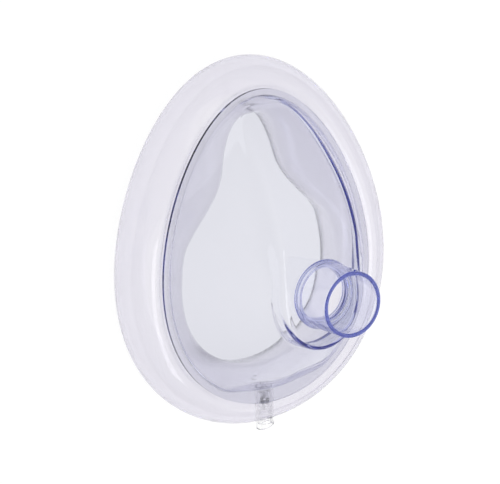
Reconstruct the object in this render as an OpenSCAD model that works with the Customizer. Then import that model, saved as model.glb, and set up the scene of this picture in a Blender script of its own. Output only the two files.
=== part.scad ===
// Resuscitation face mask: clear domed shell with a 22 mm port, on an air-filled cushion
// with a luer check valve at the chin. Lies face down: +Z out of the face, +Y to the nose.

/* [Cushion] */
// Half width of the cushion tube's centre line
cushion_half_w = 46.8; // [40:0.2:52]
// Half length of the cushion tube's centre line
cushion_half_l = 60; // [54:0.5:66]
// How much narrower the nose end is than the chin end
egg_taper = 0.174; // [0.1:0.002:0.25]
// Radius of the cushion tube outside the rim
cushion_r = 12.3; // [11.6:0.1:13]
// Width of the flat land that the cushion rests on
land_w = 5; // [2:0.5:6]
// Height of the cushion's inner lip above the face plane
lip_z = 16.5; // [13:0.5:18]
// Half width of the face opening where the mouth goes
mouth_half_w = 33; // [28:0.5:34]
// Half width of the face opening where the nose goes
nose_half_w = 15; // [12:0.5:18]

/* [Shell] */
// Wall of the clear shell
shell_wall = 1.6; // [1.4:0.1:2.2]
// Half width of the shell's rim
rim_half_w = 46.6; // [42:0.2:48]
// Half length of the shell's rim
rim_half_l = 61.8; // [57:0.2:62]
// Height of the rim's underside, where it is bonded to the cushion
rim_z = 22.6; // [21.6:0.1:23]
// Thickness of the rim's flange
rim_h = 1.2; // [1:0.1:2]
// Width of the bond between the flange and the cushion
flange_w = 4.4; // [3.8:0.1:5]
// Height of the flat top that carries the port
top_z = 61; // [52:0.5:66]
// Half width of the raised nose ridge at its foot
ridge_half_w = 19.3; // [18:0.1:21]
// Height of the ridge's side wall beside the port
ridge_step = 6.5; // [4:0.5:8]

/* [Port] */
// Distance of the port's axis from the rim's middle, toward the chin
port_back = 10.8; // [6:0.2:14]
// Radius of the port's socket
port_bore_r = 11.15; // [11:0.01:11.2]
// Outer radius of the port
port_r = 12.7; // [12.4:0.05:13]
// Height of the port above the shell
port_h = 19; // [15:0.5:24]

/* [Valve] */
// Height of the valve's axis above the face plane
valve_z = 15; // [13:0.5:16]
// Outer radius of the fill spout
spout_r = 3.5; // [3.4:0.05:3.8]
// How far the spout stands out of the cushion on its long side
spout_out = 3; // [2.4:0.2:5]
// Radius of the luer socket
luer_r = 2.1; // [2.05:0.01:2.15]
// How far the plunger is pushed in to open the valve
plunger_travel = 1.5; // [0.8:0.1:1.6]

/* [Hidden] */
$fn = 96;

stations = 80;                      // around the mask
gap = 0.02;                         // between bonded round faces
rim_y = -0.5;                       // middle of the rim, from the middle of the cushion
port_y = rim_y - port_back;
chin_y = -cushion_half_l - cushion_r;
y_mid = spout_out / 2;              // brings the whole part's box to the middle in Y

clear_pvc = [0.80, 0.84, 0.95, 0.45];
soft_pvc = [0.88, 0.89, 0.93, 0.40];
port_blue = [0.55, 0.62, 0.88, 0.55];

function mix(a, b, u) = a + (b - a) * u;
function clamp(x) = max(0, min(1, x));
function smooth(a, b, x) = let (u = clamp((x - a) / (b - a))) u * u * (3 - 2 * u);
function ring_angles() = [for (i = [0 : stations - 1]) 360 * i / stations];

// ---- outlines in plan: angle 0 is the nose and 180 the chin ----

function egg(t, half_w, half_l, mid_y) =
    [half_w * sin(t) * (1 - egg_taper * cos(t)), mid_y + half_l * cos(t)];

lip_mid_y = 1.75;
lip_half_l = 48.75;
mouth_flare = 13;                   // how much wider the opening grows toward the chin
nose_from = 0.6;                    // share of the way to the nose where the notch is full
notch_blunt = 0.62;                 // 1 is an ellipse's end, and less is blunter
function lip(t) =
    let (c = cos(t), mouth = mouth_half_w - mouth_flare * c, in_notch = smooth(0, nose_from, c),
         half_w = mix(mouth, nose_half_w, in_notch), blunt = mix(1, notch_blunt, in_notch))
    [half_w * sign(sin(t)) * pow(abs(sin(t)), blunt), lip_mid_y + lip_half_l * c];

// A U around the port: round toward the chin, long and blunt toward the nose.
nose_blunt = 0.4;
function u_outline(t, half_w, to_chin, to_nose) =
    let (c = cos(t), blunt = mix(1, nose_blunt, smooth(0, 0.6, c)))
    [half_w * sign(sin(t)) * pow(abs(sin(t)), blunt), port_y + (c > 0 ? to_nose : to_chin) * c];

// A closed solid whose section, a closed loop of points, is given at every station.
// Its faces are split the same way on the left and on the right.
module ring_solid(sections) {
    n = len(sections);
    m = len(sections[0]);
    polyhedron(
        points = [for (s = sections) each s],
        faces = [for (i = [0 : n - 1], j = [0 : m - 1])
            let (a = i * m + j, b = i * m + (j + 1) % m,
                 c = ((i + 1) % n) * m + (j + 1) % m, d = ((i + 1) % n) * m + j)
            each i < n / 2 ? [[a, b, d], [b, c, d]] : [[a, b, c], [a, c, d]]],
        convexity = 10);
}

// ---- cushion ----

seat_in = flange_w + 0.2;           // the seat under the flange, inward of the rim line
seat_out = 0.4;                     // room outside the rim's edge
crest_angle = 78;                   // the tube's arc ends here, beside the rim

// Section of the cushion at a station.
function cushion_section(t) =
    let (edge = egg(t, cushion_half_w, cushion_half_l, 0),
         rim = egg(t, rim_half_w, rim_half_l, rim_y),
         inner = lip(t),
         reach = norm(edge - inner),
         out = (edge - inner) / reach,
         at_rim = (rim - edge) * out,
         outer_arc = [for (a = [-90 : 14 : crest_angle]) [cushion_r * cos(a), cushion_r + cushion_r * sin(a)]],
         seat = [[at_rim + seat_out + 0.5, rim_z + 1.2],
                 [at_rim + seat_out, rim_z],
                 [at_rim - seat_in, rim_z]],
         upper = [for (a = [72 : -18 : 0])
             [mix(at_rim - seat_in, -reach, cos(a)), mix(lip_z, rim_z, sin(a))]],
         lower = [for (a = [-15 : -15 : -90])
             [mix(-land_w, -reach, cos(a)), lip_z + lip_z * sin(a)]])
    [for (p = concat(outer_arc, seat, upper, lower))
        let (q = edge + out * p[0]) [q[0], q[1], p[1]]];

pocket_r = 5.2;                     // air around the valve's inner end
pocket_back = 20;
chin_wall = 2;

module cushion() {
    color(soft_pvc) place() difference() {
        ring_solid([for (t = ring_angles()) cushion_section(t)]);
        on_valve_axis() translate([0, 0, -chin_wall - 1])
            cylinder(h = spout_out + chin_wall + 2, r = spout_r + gap);
        on_valve_axis() translate([0, 0, -pocket_back])
            cylinder(h = pocket_back - chin_wall, r = pocket_r);
    }
}

// ---- shell ----

nose_drop = 34;                     // how far the ridge falls from the flat top to the nose
nose_run = 50;
nose_curve = 1.75;
flat_to_y = 8;                      // the flat top ends here, just past the port
function ridge_z(y) = top_z - nose_drop * pow(max(0, y - flat_to_y) / nose_run, nose_curve);

step_at_chin = 10.4;
step_at_nose = 2.2;
function ridge_drop(t) =
    let (c = cos(t)) c > 0 ? mix(ridge_step, step_at_nose, c) : mix(ridge_step, step_at_chin, c * c);

// Rows over the ridge wall's rounded top edge: how far in from its foot, and what share of
// the wall's height below the top.
edge_rows = [[1.0, 0.34], [1.9, 0.115], [3.9, 0.01]];
chin_reach = 22.7;                  // foot of the ridge, from the port's axis
nose_reach = 67.8;
function ridge_foot(t) =
    let (p = u_outline(t, ridge_half_w, chin_reach, nose_reach)) [p[0], p[1], ridge_z(p[1]) - ridge_drop(t)];
function ridge_top(t, row) =
    let (inset = row[0], p = u_outline(t, ridge_half_w - inset, chin_reach - inset, nose_reach - inset))
    [p[0], p[1], ridge_z(p[1]) - row[1] * ridge_drop(t)];

// The flange's width outside the foot of the cheeks.
function flange_out(t) = mix(2.4, 5.2, smooth(0.88, 1, -cos(t)));
function rim_at(t, inset, z) =
    let (p = egg(t, rim_half_w - inset, rim_half_l - inset, rim_y)) [p[0], p[1], z];

cheek_foot_w = 1.7;                 // width of the cheeks' wall where it meets the flange
cheek_bulge = 0.30;                 // 0 is a straight slope from rim to ridge
cheek_rows = [0, 0.2, 0.4, 0.6, 0.8, 0.93];
function cheek(a, b, v) =
    let (rise = v + cheek_bulge * v * (1 - v))
    [mix(a[0], b[0], v), mix(a[1], b[1], v), mix(a[2], b[2], rise)];

hole_r = port_bore_r + 0.35;
function top_row(t, v) =
    let (a = ridge_top(t, edge_rows[2]), b = [hole_r * sin(t), port_y + hole_r * cos(t)],
         x = mix(a[0], b[0], v), y = mix(a[1], b[1], v))
    [x, y, ridge_z(y) - (1 - v) * edge_rows[2][1] * ridge_drop(t)];

function skin(t) =
    let (start = rim_at(t, flange_out(t), rim_z + rim_h), foot = ridge_foot(t))
    concat([for (v = cheek_rows) cheek(start, foot, v)], [foot],
        [for (row = edge_rows) ridge_top(t, row)],
        [for (v = [0.1 : 0.1 : 1]) top_row(t, v)]);

// Normal of the outer skin at station i and row j.
function skin_normal(skins, i, j) =
    let (n = len(skins), m = len(skins[0]),
         around = skins[(i + 1) % n][j] - skins[(i + n - 1) % n][j],
         up = skins[i][min(j + 1, m - 1)] - skins[i][max(j - 1, 0)],
         c = cross(up, around))
    c / norm(c);

function inner_skin(skins, i) =
    let (t = 360 * i / stations, m = len(skins[0]), last = skins[i][m - 1], foot_row = len(cheek_rows),
         start = rim_at(t, flange_out(t) + cheek_foot_w, rim_z + 0.3),
         foot = skins[i][foot_row] - shell_wall * skin_normal(skins, i, foot_row))
    concat([last - [0, 0, shell_wall]],
        [for (j = [m - 2 : -1 : foot_row + 1]) skins[i][j] - shell_wall * skin_normal(skins, i, j)],
        [foot],
        [for (k = [foot_row - 1 : -1 : 0]) cheek(start, foot, cheek_rows[k])]);

edge_round = 0.4;                   // of the flange's outer edge
function shell_section(skins, i) =
    let (t = 360 * i / stations)
    concat([rim_at(t, 0, rim_z), rim_at(t, 0, rim_z + rim_h - edge_round),
            rim_at(t, edge_round, rim_z + rim_h)],
        skins[i], inner_skin(skins, i), [rim_at(t, flange_out(t) + cheek_foot_w - 0.2, rim_z)]);

module dome_shell() {
    skins = [for (t = ring_angles()) skin(t)];
    color(clear_pvc) place() ring_solid([for (i = [0 : stations - 1]) shell_section(skins, i)]);
}

// ---- port ----

stop_r = 10;                        // the socket's inner stop
stop_h = 1.2;
spigot_r = port_bore_r + 0.25;      // goes through the shell's hole
spigot_below = 0.8;
lead_in = 0.4;

module port_tube() {
    bottom = top_z - shell_wall - spigot_below;
    mouth = top_z + port_h;
    color(port_blue) place() translate([0, port_y, 0]) difference() {
        union() {
            translate([0, 0, bottom]) cylinder(h = mouth - bottom, r = spigot_r);
            translate([0, 0, top_z]) cylinder(h = port_h - lead_in, r = port_r);
            translate([0, 0, mouth - lead_in]) cylinder(h = lead_in, r1 = port_r, r2 = port_r - lead_in);
        }
        translate([0, 0, bottom - 1]) cylinder(h = mouth - bottom + 2, r = stop_r);
        translate([0, 0, top_z + stop_h]) cylinder(h = port_h, r = port_bore_r);
    }
}

// ---- inflation valve: local +Z points out of the chin, 0 is at the cushion's surface ----

spout_short = 1;                    // how far its short side stands out: the mouth is cut on a slant
spout_in = 14.6;
body_r = spout_r - 0.6;
body_out = 0.8;
luer_len = 5;
relief_r = luer_r + 0.25;
relief_end = -6.2;
seat_end = -7.4;
seat_hole_r = 1.3;
chamber_r = 2.25;
body_end = -13.6;
retainer_h = 1.4;
guide_r = 0.65;
stem_tip = -4.5;
stem_r = 0.8;
seal_h = 0.6;
head_h = 1;
head_r = 1.8;
rear_r = 0.6;
rear_end = -13;
coil_r = 1.35;
wire_r = 0.16;
coil_turns = 4;

module on_valve_axis() { translate([0, chin_y, valve_z]) rotate([90, 0, 0]) children(); }
module place() { translate([0, y_mid, 0]) children(); }
module tube(from, to, r_out, r_in) {
    translate([0, 0, from]) difference() {
        cylinder(h = to - from, r = r_out);
        translate([0, 0, -1]) cylinder(h = to - from + 2, r = r_in);
    }
}

module fill_spout() {
    slant = atan2(spout_out - spout_short, 2 * spout_r);
    color(soft_pvc) place() on_valve_axis() difference() {
        tube(-spout_in, spout_out, spout_r, body_r + gap);
        translate([-spout_r, 0, spout_out]) rotate([0, slant, 0])
            translate([-5, -10, 0]) cube([30, 20, 10]);
    }
}

module valve_body() {
    color(clear_pvc) place() on_valve_axis() difference() {
        translate([0, 0, body_end]) cylinder(h = body_out - body_end, r = body_r);
        translate([0, 0, body_out - luer_len]) cylinder(h = luer_len + 1, r = luer_r);
        translate([0, 0, relief_end]) cylinder(h = body_out - luer_len - relief_end, r = relief_r);
        translate([0, 0, seat_end - 1]) cylinder(h = 4, r = seat_hole_r);
        translate([0, 0, body_end - 1]) cylinder(h = seat_end - body_end + 1, r = chamber_r);
    }
}

module valve_retainer() {
    vents = 4;
    vent_r = 0.4;
    color("white") place() on_valve_axis() difference() {
        tube(body_end, body_end + retainer_h, chamber_r - gap, guide_r);
        for (a = [0 : 360 / vents : 359])
            rotate(a) translate([1.5, 0, body_end - 1]) cylinder(h = retainer_h + 2, r = vent_r);
    }
}

module valve_plunger() {
    head_top = seat_end - seal_h;
    color("white") place() on_valve_axis() union() {
        translate([0, 0, head_top]) cylinder(h = stem_tip - head_top, r = stem_r);
        translate([0, 0, head_top - head_h]) cylinder(h = head_h, r = head_r);
        translate([0, 0, rear_end]) cylinder(h = head_top - rear_end, r = rear_r);
    }
}

module plunger_seal() {
    color("gainsboro") place() on_valve_axis() tube(seat_end - seal_h, seat_end, head_r + 0.1, stem_r + gap);
}

// Compression spring from the plunger's head to the retainer, swept along its helix.
module valve_spring() {
    steps = 24 * coil_turns;
    sides = 8;
    low = body_end + retainer_h + wire_r + gap;
    high = seat_end - seal_h - head_h - wire_r - gap;
    rings = [for (i = [0 : steps])
        let (a = 360 * coil_turns * i / steps, z = mix(low, high, i / steps))
        [for (k = [0 : sides - 1]) let (b = 360 * k / sides, r = coil_r + wire_r * cos(b))
            [r * cos(a), r * sin(a), z + wire_r * sin(b)]]];
    color("silver") place() on_valve_axis() polyhedron(
        points = [for (ring = rings) each ring],
        faces = concat(
            [[for (k = [sides - 1 : -1 : 0]) k]],
            [for (i = [0 : steps - 1], k = [0 : sides - 1])
                let (a = i * sides + k, b = i * sides + (k + 1) % sides)
                each [[a, b, b + sides], [a, b + sides, a + sides]]],
            [[for (k = [0 : sides - 1]) steps * sides + k]]),
        convexity = 10);
}

dome_shell();
port_tube();
cushion();
fill_spout();
valve_body();
valve_retainer();
valve_plunger();
plunger_seal();
valve_spring();
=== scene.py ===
"""Resuscitation face mask: clear shell with a blue-tinted port on a milky air cushion."""
import math

import bpy
import numpy as np
from mathutils import Matrix, Vector


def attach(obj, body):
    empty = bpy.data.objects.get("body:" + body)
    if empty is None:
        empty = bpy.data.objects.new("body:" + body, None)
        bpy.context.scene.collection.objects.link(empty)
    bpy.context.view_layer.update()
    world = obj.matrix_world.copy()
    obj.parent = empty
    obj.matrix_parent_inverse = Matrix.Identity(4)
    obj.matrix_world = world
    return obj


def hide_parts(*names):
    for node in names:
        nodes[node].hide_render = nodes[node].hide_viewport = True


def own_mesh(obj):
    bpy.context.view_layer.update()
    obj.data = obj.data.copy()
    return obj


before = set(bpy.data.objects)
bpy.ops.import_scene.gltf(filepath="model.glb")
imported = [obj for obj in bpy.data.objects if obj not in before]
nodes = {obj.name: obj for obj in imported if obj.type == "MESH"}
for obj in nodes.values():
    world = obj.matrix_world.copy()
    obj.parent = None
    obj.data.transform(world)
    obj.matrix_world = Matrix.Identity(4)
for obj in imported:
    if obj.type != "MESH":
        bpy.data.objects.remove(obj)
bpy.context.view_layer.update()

MM = 0.001

# Stations round each swept piece, rows and smoothing passes of its section, and steps in a rounded corner
SHELL_STATIONS, PORT_STATIONS, CUSHION_STATIONS = 256, 144, 320
CHEEK_ROWS, RIDGE_ROWS, INNER_PASSES, MELT_PASSES = 84, 62, 4, 80
OUTSIDE_ROWS, WALL_ROWS, UNDER_ROWS = 44, 16, 18
FILLET_STEPS, FOOT_STEPS, CORNER_STEPS = 5, 9, 10

# Sizes in mm, as in the CAD model. y is measured from the middle of the cushion's egg.
Y_MID = 1.5
EGG_TAPER = 0.174
CUSHION_HALF_W, CUSHION_HALF_L, CUSHION_R = 46.8, 60.0, 12.3
LAND_W, LIP_Z = 5.0, 16.5
MOUTH_HALF_W, NOSE_HALF_W, MOUTH_FLARE, NOSE_FROM, NOTCH_BLUNT = 33.0, 15.0, 13.0, 0.6, 0.62
LIP_MID_Y, LIP_HALF_L = 1.75, 48.75
RIM_HALF_W, RIM_HALF_L, RIM_Y, RIM_Z, RIM_H = 46.6, 61.8, -0.5, 22.6, 1.2
FLANGE_W, CHEEK_FOOT_W = 4.4, 1.7
TOP_Z, PORT_Y = 61.0, -11.3
NOSE_DROP, NOSE_RUN, NOSE_CURVE, FLAT_TO_Y = 34.0, 50.0, 1.75, 8.0
RIDGE_HALF_W, RIDGE_STEP, STEP_AT_CHIN, STEP_AT_NOSE = 19.3, 6.5, 10.4, 2.2
CHIN_REACH, NOSE_REACH, NOSE_BLUNT, CHEEK_BULGE = 22.7, 67.8, 0.4, 0.30
SHELL_WALL, HOLE_R = 1.6, 11.5
PORT_R, BORE_R, STOP_R, STOP_H, PORT_H = 12.7, 11.15, 10.0, 1.2, 19.0
CHIN_Y, VALVE_Z = -CUSHION_HALF_L - CUSHION_R, 15.0

# The flange's width, the same at the chin, how far the ridge's wall leans in, and the bead along its foot
FLANGE_OUT, FLANGE_AT_CHIN, WALL_LEAN, FOOT_BEAD = 2.4, 5.2, 0.8, 0.6
# How far the rounding of the ridge's foot and of its top corner reaches, before and after the corner
CRISP_FOOT, MELTED_FOOT = (0.25, 0.25), (6.5, 3.0)
CRISP_CORNER, SOFT_CORNER = (1.8, 2.0), (3.8, 4.5)
# Where the rows of the cheek end as a share of its height, and how far in the rows of the top start
CHEEK_END, TOP_FROM = 0.82, 5.0
# The cosines of t, 1 at the nose, between which the foot melts and the bead fades
MELT_BETWEEN, BEAD_BETWEEN = (0.08, 0.42), (-0.1, 0.3)
# The same for the top corner as it turns crisp, with 1 at the chin
CRISP_BETWEEN = (0.0, 0.8)

# The film's two thicknesses, and the flat seat that it has under the shell's flange
FILM_OUT, FILM_IN = 0.5, 0.12
CREST_OUT, SEAT_OUT, SEAT_PAST, SEAT_GAP = 3.4, 0.3, 0.2, 0.06

# The spring's wire and coil, and the depths of its two ends in from the outermost point of the chin
WIRE_R, COIL_R, COIL_TURNS, SPRING_FROM, SPRING_TO = 0.16, 1.35, 4, 12.0, 9.2


def mix(a, b, u):
    return a + (b - a) * u


def smooth(a, b, x):
    u = np.clip((x - a) / (b - a), 0, 1)
    return u * u * (3 - 2 * u)


def station_angles(n):
    return np.arange(n) * 2 * math.pi / n


# ---------------------------------------------------------------- meshes

def ring_faces(n, m, flip=False, start=0):
    """Quads between n stations of m points each, closed both ways."""
    faces = []
    for i in range(n):
        k = (i + 1) % n
        for j in range(m):
            q = (start + i * m + j, start + i * m + (j + 1) % m,
                 start + k * m + (j + 1) % m, start + k * m + j)
            faces.append(q[::-1] if flip else q)
    return faces


def add_mesh(name, points, faces, material, body="mask"):
    """points are in mm, with y from the middle of the egg."""
    mesh = bpy.data.meshes.new(name)
    v = np.asarray(points, float).reshape(-1, 3) + [0, Y_MID, 0]
    mesh.from_pydata((v * MM).tolist(), [], faces)
    mesh.materials.append(material)
    mesh.shade_smooth()
    mesh.validate()
    obj = bpy.data.objects.new(name, mesh)
    bpy.context.scene.collection.objects.link(obj)
    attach(obj, body)
    return obj


def bend(a, p, b, reaches, steps, share):
    """Rows that round the corner p between a and b. A reach is at most a share of the way to a or b."""
    ends = []
    for q, reach in zip((a, b), reaches):
        way = np.linalg.norm(q - p, axis=1, keepdims=True)
        ends.append(p + (q - p) / way * np.minimum(reach, share * way))
    return [mix(mix(ends[0], p, u), mix(p, ends[1], u), u) for u in np.linspace(0, 1, steps + 1)]


def mix_reaches(a, b, u):
    return [mix(p, q, u) for p, q in zip(a, b)]


def fillets(rows, radii):
    """rows is a list of (n, 3) control points round a closed section; a corner with a radius is rounded.

    A guard row on each side of the rounding keeps the shading of the flats beside it flat.
    """
    guard = 1.2
    out = []
    for i, (p, r) in enumerate(zip(rows, radii)):
        if not r:
            out.append(p)
            continue
        arc = bend(rows[i - 1], p, rows[(i + 1) % len(rows)], (r, r), FILLET_STEPS, share=0.4)
        out += [mix(p, arc[0], guard), *arc, mix(p, arc[-1], guard)]
    return out


def resample(rows, count):
    """rows (k, n, 3) along each station's line, to count rows evenly spaced along it."""
    rows = np.asarray(rows)
    step = np.linalg.norm(np.diff(rows, axis=0), axis=2)
    s = np.concatenate([np.zeros((1, rows.shape[1])), np.cumsum(step, axis=0)])
    out = np.empty((count, rows.shape[1], 3))
    for i in range(rows.shape[1]):
        at = np.linspace(0, s[-1, i], count)
        for axis in range(3):
            out[:, i, axis] = np.interp(at, s[:, i], rows[:, i, axis])
    return out


def soften(rows, passes, share=1.0):
    """Rounds each station's line of rows, with its ends held. share can differ between stations."""
    rows = rows.copy()
    for _ in range(passes):
        rows[1:-1] = mix(rows[1:-1], (rows[:-2] + 2 * rows[1:-1] + rows[2:]) / 4, share)
    return rows


def grid_normals(rows):
    """Outward normals of a grid of rows (k, n, 3) that runs up the shell and round it."""
    around = np.roll(rows, -1, axis=1) - np.roll(rows, 1, axis=1)
    up = np.gradient(rows, axis=0)
    c = np.cross(up, around)
    return c / np.linalg.norm(c, axis=2, keepdims=True)


# ---------------------------------------------------------------- materials

def new_material(name):
    m = bpy.data.materials.new(name)
    m.use_nodes = True
    m.node_tree.nodes.clear()
    tree = m.node_tree
    out = tree.nodes.new("ShaderNodeOutputMaterial")
    shader = tree.nodes.new("ShaderNodeBsdfPrincipled")
    tree.links.new(shader.outputs["BSDF"], out.inputs["Surface"])
    return m, tree, shader, out


def noise(tree, scale):
    coords = tree.nodes.new("ShaderNodeTexCoord")
    tex = tree.nodes.new("ShaderNodeTexNoise")
    tex.inputs["Scale"].default_value = scale
    tex.inputs["Detail"].default_value = 2.0
    tree.links.new(coords.outputs["Object"], tex.inputs["Vector"])
    return tex.outputs["Fac"]


def add_bump(tree, shader, layers, distance):
    """layers is a list of (scale per metre, strength)."""
    previous = None
    for scale, strength in layers:
        bump = tree.nodes.new("ShaderNodeBump")
        bump.inputs["Strength"].default_value = strength
        bump.inputs["Distance"].default_value = distance
        tree.links.new(noise(tree, scale), bump.inputs["Height"])
        if previous:
            tree.links.new(previous.outputs["Normal"], bump.inputs["Normal"])
        previous = bump
    tree.links.new(previous.outputs["Normal"], shader.inputs["Normal"])


def clear_plastic(name, color, absorb, density, rough, milk, bumps, ior=1.52):
    """Clear plastic that tints light by how far it goes inside. milk is the share that scatters."""
    m, tree, shader, out = new_material(name)
    shader.inputs["Base Color"].default_value = (*color, 1)
    shader.inputs["Transmission Weight"].default_value = 1 - milk
    shader.inputs["IOR"].default_value = ior
    ramp = tree.nodes.new("ShaderNodeMapRange")
    ramp.inputs["To Min"].default_value, ramp.inputs["To Max"].default_value = rough
    tree.links.new(noise(tree, 90), ramp.inputs["Value"])
    tree.links.new(ramp.outputs["Result"], shader.inputs["Roughness"])
    add_bump(tree, shader, bumps, 0.0004)
    volume = tree.nodes.new("ShaderNodeVolumeAbsorption")
    volume.inputs["Color"].default_value = (*absorb, 1)
    volume.inputs["Density"].default_value = density
    tree.links.new(volume.outputs["Volume"], out.inputs["Volume"])
    return m


def drawn_wire(name, color, rough):
    """Metal with fine drawing marks and slight changes of shade."""
    m, tree, shader, _ = new_material(name)
    shade = tree.nodes.new("ShaderNodeMixRGB")
    shade.inputs[1].default_value = (*[c * 0.92 for c in color], 1)
    shade.inputs[2].default_value = (*color, 1)
    tree.links.new(noise(tree, 1500), shade.inputs[0])
    tree.links.new(shade.outputs[0], shader.inputs["Base Color"])
    shader.inputs["Metallic"].default_value = 1.0
    shader.inputs["Roughness"].default_value = rough
    add_bump(tree, shader, ((2500, 0.05),), 0.00005)
    return m


shell_pvc = clear_plastic("shell_pvc", (0.865, 0.865, 0.875), absorb=(0.0, 0.06, 0.68), density=62,
                          rough=(0.015, 0.04), milk=0.0, bumps=((60, 0.05),))
port_pvc = clear_plastic("port_pvc", (0.94, 0.94, 0.965), absorb=(0.0, 0.10, 0.72), density=72,
                         rough=(0.015, 0.03), milk=0.0, bumps=((60, 0.05),))
cushion_film = clear_plastic("cushion_film", (0.995, 0.992, 0.995), absorb=(0.25, 0.18, 0.56), density=185,
                             rough=(0.05, 0.14), milk=0.012, bumps=((45, 0.12), (220, 0.03)))
spout_pvc = clear_plastic("spout_pvc", (0.99, 0.99, 0.99), absorb=(0.5, 0.5, 0.6), density=30,
                          rough=(0.05, 0.12), milk=0.01, bumps=((220, 0.03),), ior=1.4)
valve_clear = clear_plastic("valve_clear", (0.995, 0.995, 0.995), absorb=(0.5, 0.5, 0.6), density=20,
                            rough=(0.03, 0.08), milk=0.0, bumps=((220, 0.03),), ior=1.4)
valve_white = clear_plastic("valve_white", (0.99, 0.99, 0.99), absorb=(0.6, 0.6, 0.66), density=20,
                            rough=(0.1, 0.2), milk=0.06, bumps=((220, 0.03),), ior=1.4)
seal_rubber = clear_plastic("seal_rubber", (0.95, 0.95, 0.96), absorb=(0.6, 0.6, 0.66), density=60,
                            rough=(0.2, 0.3), milk=0.3, bumps=((2500, 0.25),), ior=1.42)
spring_steel = drawn_wire("spring_steel", (0.9, 0.9, 0.91), rough=0.25)


# ---------------------------------------------------------------- outlines: t is 0 at the nose

def egg(t, half_w, half_l, mid_y):
    x = half_w * np.sin(t) * (1 - EGG_TAPER * np.cos(t))
    return np.stack([x, mid_y + half_l * np.cos(t)], -1)


def outward(t):
    """Unit normals of the cushion's egg in plan."""
    step = 0.001
    before, after = (egg(t + turn, CUSHION_HALF_W, CUSHION_HALF_L, 0) for turn in (-step, step))
    along = after - before
    return np.stack([-along[:, 1], along[:, 0]], -1) / np.linalg.norm(along, axis=1, keepdims=True)


def blunted(s, power):
    """A power under 1 makes the outline's end blunter, with s the sine of t."""
    return np.sign(s) * np.abs(s) ** power


def lip(t):
    """The pear-shaped face opening, with a narrow notch for the nose."""
    c = np.cos(t)
    in_notch = smooth(0, NOSE_FROM, c)
    half = mix(MOUTH_HALF_W - MOUTH_FLARE * c, NOSE_HALF_W, in_notch)
    x = half * blunted(np.sin(t), mix(1, NOTCH_BLUNT, in_notch))
    return np.stack([x, LIP_MID_Y + LIP_HALF_L * c], -1)


def rim_at(t, inset, z):
    """The shell's outer rim, moved in by inset."""
    p = egg(t, 1, 1, 0)
    x = (RIM_HALF_W - inset) * p[:, 0]
    y = RIM_Y + (RIM_HALF_L - inset) * p[:, 1]
    return np.stack([x, y, np.full_like(x, z)], -1)


def flange_out(t):
    """The flange's width in plan. It widens at the chin."""
    return mix(FLANGE_OUT, FLANGE_AT_CHIN, smooth(0.88, 1, -np.cos(t)))


def ridge_z(y):
    """The ridge's top is flat round the port and falls away toward the nose."""
    return TOP_Z - NOSE_DROP * (np.maximum(0, y - FLAT_TO_Y) / NOSE_RUN) ** NOSE_CURVE


def ridge_at(t, inset, share):
    """A point of the ridge's wall: inset from its foot in plan, and down by a share of the wall's height."""
    c = np.cos(t)
    blunt = mix(1, NOSE_BLUNT, smooth(0, 0.6, c))
    x = (RIDGE_HALF_W - inset) * blunted(np.sin(t), blunt)
    y = PORT_Y + np.where(c > 0, NOSE_REACH - inset, CHIN_REACH - inset) * c
    drop = np.where(c > 0, mix(RIDGE_STEP, STEP_AT_NOSE, c), mix(RIDGE_STEP, STEP_AT_CHIN, c * c))
    return np.stack([x, y, ridge_z(y) - share * drop], -1)


# ---------------------------------------------------------------- shell

def shell_outside(t):
    """Rows from the flange up to the hole for the port, and the number of the row at the ridge's foot."""
    start, foot = rim_at(t, flange_out(t), RIM_Z + RIM_H), ridge_at(t, 0, 1)
    rows = []
    for v in np.linspace(0, CHEEK_END, 12):
        row = mix(start, foot, v)
        row[:, 2] = mix(start[:, 2], foot[:, 2], v + CHEEK_BULGE * v * (1 - v))
        rows.append(row)
    corner = ridge_at(t, WALL_LEAN, 0)
    hole = np.stack([HOLE_R * np.sin(t), PORT_Y + HOLE_R * np.cos(t)], -1)
    flat = np.linalg.norm(hole - corner[:, :2], axis=1)
    top = []
    for v in np.linspace(0, 1, 12):
        xy = mix(corner[:, :2], hole, mix(np.clip(TOP_FROM / flat, 0, 0.7), 1, v)[:, None])
        top.append(np.column_stack([xy, ridge_z(xy[:, 1])]))
    # The wall's foot is crisp round the chin end of the U and melts into the cheeks toward the nose.
    melt = smooth(*MELT_BETWEEN, np.cos(t))[:, None]
    reaches = mix_reaches(CRISP_FOOT, MELTED_FOOT, melt)
    at_foot = bend(rows[-1], foot, corner, reaches, FOOT_STEPS, share=0.85)
    chords = [mix(rows[-1], corner, u) for u in np.linspace(0.2, 0.5, len(at_foot))]
    at_foot = [mix(p, chord, melt * 0.75) for p, chord in zip(at_foot, chords)]
    crisp = smooth(*CRISP_BETWEEN, -np.cos(t))[:, None]
    reaches = mix_reaches(SOFT_CORNER, CRISP_CORNER, crisp)
    at_corner = bend(at_foot[-1], corner, top[0], reaches, CORNER_STEPS, share=0.9)
    middle = len(at_foot) // 2
    cheek = resample([*rows, *at_foot[:middle + 1]], CHEEK_ROWS)
    ridge = resample([*at_foot[middle:], *at_corner, *top], RIDGE_ROWS)
    outer = soften(np.concatenate([cheek, ridge[1:]]), 1)
    return soften(outer, MELT_PASSES, melt), CHEEK_ROWS - 1


def shell_inside(t, outer, foot_row):
    """The outside moved in by the wall, with a fine moulded bead along the crisp part of the foot."""
    normals = grid_normals(outer)
    inner = soften(outer - SHELL_WALL * normals, INNER_PASSES)
    inner[-1] = outer[-1] - [0, 0, SHELL_WALL]
    beaded = 1 - smooth(*BEAD_BETWEEN, np.cos(t))[:, None]
    inner[foot_row] -= FOOT_BEAD * beaded * normals[foot_row]
    return inner


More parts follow.
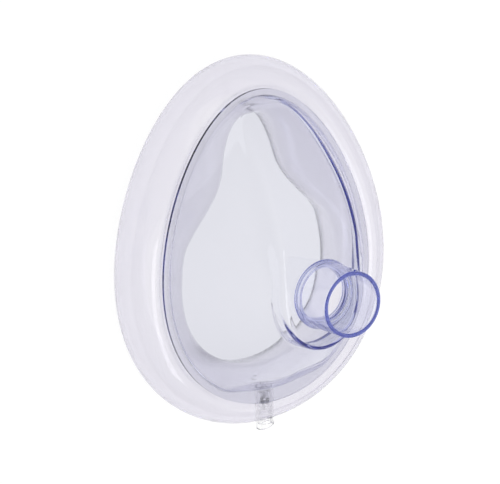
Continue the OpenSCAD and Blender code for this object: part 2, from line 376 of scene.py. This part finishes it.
def shell_piece():
    t = station_angles(SHELL_STATIONS)
    outer, foot_row = shell_outside(t)
    inner = shell_inside(t, outer, foot_row)
    section = [rim_at(t, 0, RIM_Z), rim_at(t, 0, RIM_Z + RIM_H), *outer, *inner[::-1],
               rim_at(t, flange_out(t) + CHEEK_FOOT_W - 0.2, RIM_Z)]
    radii = [0.1, 0.15] + [1.0] + [0] * (len(outer) - 2) + [0.25, 0.25] + [0] * (len(inner) - 1) + [0.15]
    section = fillets(section, radii)
    shell = add_mesh("shell", np.stack(section, 1), ring_faces(SHELL_STATIONS, len(section)), shell_pvc)
    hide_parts("dome_shell")


# ---------------------------------------------------------------- port

def port_piece():
    """Turned from its (r, z) section about the port's axis."""
    t = station_angles(PORT_STATIONS)
    foot, bottom = TOP_Z + 0.05, TOP_Z - SHELL_WALL - 0.8
    mouth, stop = TOP_Z + PORT_H, TOP_Z + STOP_H
    profile = [(HOLE_R - 0.1, bottom), (HOLE_R - 0.1, foot), (PORT_R + 0.9, foot),
               (PORT_R + 0.15, foot + 0.7), (PORT_R, foot + 2), (PORT_R, mouth),
               (BORE_R, mouth), (BORE_R, stop), (STOP_R, stop), (STOP_R, bottom)]
    radii = [0.2, 0, 0.15, 0.5, 0.6, 0.72, 0.72, 0.25, 0.3, 0.3]
    rows = [np.stack([r * np.sin(t), PORT_Y + r * np.cos(t), np.full_like(t, z)], -1) for r, z in profile]
    rows = fillets(rows, radii)
    port = add_mesh("port", np.stack(rows, 1), ring_faces(PORT_STATIONS, len(rows)), port_pvc)
    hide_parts("port_tube")


# ---------------------------------------------------------------- cushion

def cushion_rows(t, film, film_in):
    """The cushion's section rows, moved in by film outside the rim and by film_in under the shell."""
    edge = egg(t, CUSHION_HALF_W, CUSHION_HALF_L, 0)
    rim = egg(t, RIM_HALF_W, RIM_HALF_L, RIM_Y)
    inner = lip(t)
    reach = np.linalg.norm(edge - inner, axis=1)
    from_lip = (edge - inner) / reach[:, None]
    normal = outward(t)
    at_rim = ((rim - edge) * normal).sum(1)
    seat_in = at_rim - FLANGE_W - SEAT_PAST
    r = CUSHION_R - film
    top = RIM_Z - SEAT_GAP - film
    rows = []

    def add(p, z):
        """A row at p outward from the egg and z up. It turns toward the lip's points as it nears them."""
        p = np.broadcast_to(p, t.shape)[:, None]
        way = mix(normal, from_lip, smooth(0, 1, -p / reach[:, None]))
        rows.append(np.column_stack([edge + way * p, np.broadcast_to(z, t.shape)]))

    crest = np.arccos((at_rim + CREST_OUT) / CUSHION_R)
    for u in np.linspace(0, 1, OUTSIDE_ROWS):
        a = mix(-math.pi / 2, crest, u)
        add(r * np.cos(a), CUSHION_R + r * np.sin(a))
    add(at_rim + SEAT_OUT + 0.5 * film, top)
    add(seat_in, top)
    for a in np.radians(np.linspace(80, 0, WALL_ROWS)):
        add(mix(seat_in, film_in - reach, math.cos(a)), mix(LIP_Z, top, math.sin(a)))
    for a in np.radians(np.linspace(-6, -90, UNDER_ROWS)):
        add(mix(-LAND_W, film_in - reach, math.cos(a)), LIP_Z + (LIP_Z - film) * math.sin(a))
    return fillets(rows, [0] * OUTSIDE_ROWS + [0.5, 1.5] + [0] * (WALL_ROWS + UNDER_ROWS))


def cushion_piece():
    """A hollow bladder: an outer skin, and an inner one that faces the air in it."""
    n = CUSHION_STATIONS
    t = station_angles(n)
    skins = [np.stack(cushion_rows(t, *film), 1) for film in ((0, 0), (FILM_OUT, FILM_IN))]
    m = skins[0].shape[1]
    points = np.concatenate([s.reshape(-1, 3) for s in skins])
    faces = ring_faces(n, m) + ring_faces(n, m, flip=True, start=n * m)
    cushion = add_mesh("air_cushion", points, faces, cushion_film)
    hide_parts("cushion")


# ---------------------------------------------------------------- fill valve

def assign(node, material):
    obj = nodes[node]
    obj.data.materials.clear()
    obj.data.materials.append(material)
    for p in obj.data.polygons:
        p.material_index = 0


def spring_piece():
    """A wound wire from the retainer to the plunger's head, built at one length. The real spring shortens as
    the plunger goes in.
    """
    sides, steps = 12, 160
    points, faces = [], []
    for i in range(steps + 1):
        a = 2 * math.pi * COIL_TURNS * i / steps
        radial = np.array([math.cos(a), 0, math.sin(a)])
        along = mix(CHIN_Y + SPRING_FROM, CHIN_Y + SPRING_TO, i / steps)
        middle = [0, along, VALVE_Z] + COIL_R * radial
        for k in range(sides):
            b = 2 * math.pi * k / sides
            points.append(middle + WIRE_R * (radial * math.cos(b) + np.array([0, math.sin(b), 0])))
    for i in range(steps):
        for k in range(sides):
            a, b = i * sides + k, i * sides + (k + 1) % sides
            faces.append((a, b, b + sides, a + sides))
    faces.append(tuple(range(sides))[::-1])
    faces.append(tuple(steps * sides + k for k in range(sides)))
    spring = add_mesh("spring", points, faces, spring_steel)
    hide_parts("valve_spring")
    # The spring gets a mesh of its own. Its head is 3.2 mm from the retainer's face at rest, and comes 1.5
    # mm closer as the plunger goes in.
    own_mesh(spring)


def valve():
    assign("fill_spout", spout_pvc)
    assign("valve_body", valve_clear)
    assign("valve_retainer", valve_white)
    assign("valve_plunger", valve_white)
    assign("plunger_seal", seal_rubber)
    spring_piece()


# ---------------------------------------------------------------- scene

def floor():
    """A lit white table, as in a light tent, so that the clear mask casts almost no shadow."""
    bpy.ops.mesh.primitive_plane_add(size=8, location=(0, 0, -0.0002))
    obj = bpy.context.object
    obj.name = "floor"
    m, _, shader, _ = new_material("table")
    shader.inputs["Base Color"].default_value = (0.08, 0.08, 0.08, 1)
    shader.inputs["Roughness"].default_value = 0.9
    shader.inputs["Specular IOR Level"].default_value = 0.0
    shader.inputs["Emission Color"].default_value = (1, 1, 1, 1)
    shader.inputs["Emission Strength"].default_value = 0.96
    obj.data.materials.append(m)


def place(name, data, aim, back, away, roll=0.0):
    """Puts a light or camera away metres from aim, along back, with the nose end up in its view."""
    right = Vector((0, 1, 0)).cross(back).normalized()
    turn = Matrix((right, back.cross(right), back)).transposed() @ Matrix.Rotation(roll, 3, "Z")
    obj = bpy.data.objects.new(name, data)
    obj.matrix_world = Matrix.Translation(aim + back * away) @ turn.to_4x4()
    bpy.context.scene.collection.objects.link(obj)
    return obj


def softbox(name, at, size, power):
    light = bpy.data.lights.new(name, "AREA")
    light.shape = "RECTANGLE"
    light.size, light.size_y = size
    light.energy = power
    back = Vector(at)
    place(name, light, Vector((0, 0, 0)), back.normalized(), back.length)


def lights():
    """A sky that is bright overhead and greyer at the horizon, and a softbox a metre away above the chin."""
    world = bpy.data.worlds.new("studio")
    bpy.context.scene.world = world
    world.use_nodes = True
    tree = world.node_tree
    coords = tree.nodes.new("ShaderNodeTexCoord")
    split = tree.nodes.new("ShaderNodeSeparateXYZ")
    ramp = tree.nodes.new("ShaderNodeMapRange")
    ramp.interpolation_type = "SMOOTHSTEP"
    ramp.inputs["From Min"].default_value, ramp.inputs["From Max"].default_value = -0.1, 0.8
    ramp.inputs["To Min"].default_value, ramp.inputs["To Max"].default_value = 0.55, 0.95
    tree.links.new(coords.outputs["Generated"], split.inputs["Vector"])
    tree.links.new(split.outputs["Z"], ramp.inputs["Value"])
    background = tree.nodes["Background"]
    background.inputs["Color"].default_value = (0.985, 0.985, 1, 1)
    tree.links.new(ramp.outputs["Result"], background.inputs["Strength"])
    softbox("overhead", (-0.15, -0.45, 0.87), (0.32, 0.8), 1.3)


def camera():
    """Looks down on the mask from its left, with the nose up in the picture."""
    azimuth, elevation, roll = math.radians(151.62), math.radians(53.46), math.radians(-3.75)
    back = Vector((math.cos(elevation) * math.cos(azimuth), math.cos(elevation) * math.sin(azimuth),
                   math.sin(elevation)))
    data = bpy.data.cameras.new("camera")
    data.lens, data.sensor_width = 336.8, 36
    data.clip_start, data.clip_end = 0.1, 20
    bpy.context.scene.camera = place("camera", data, Vector((5.2, -2.27, 4.72)) * MM, back, 1.8, roll)


shell_piece()
port_piece()
cushion_piece()
valve()
floor()
lights()
camera()
bpy.context.scene.view_settings.view_transform = "Standard"
for limit in ("max_bounces", "transmission_bounces", "glossy_bounces"):
    setattr(bpy.context.scene.cycles, limit, 64)
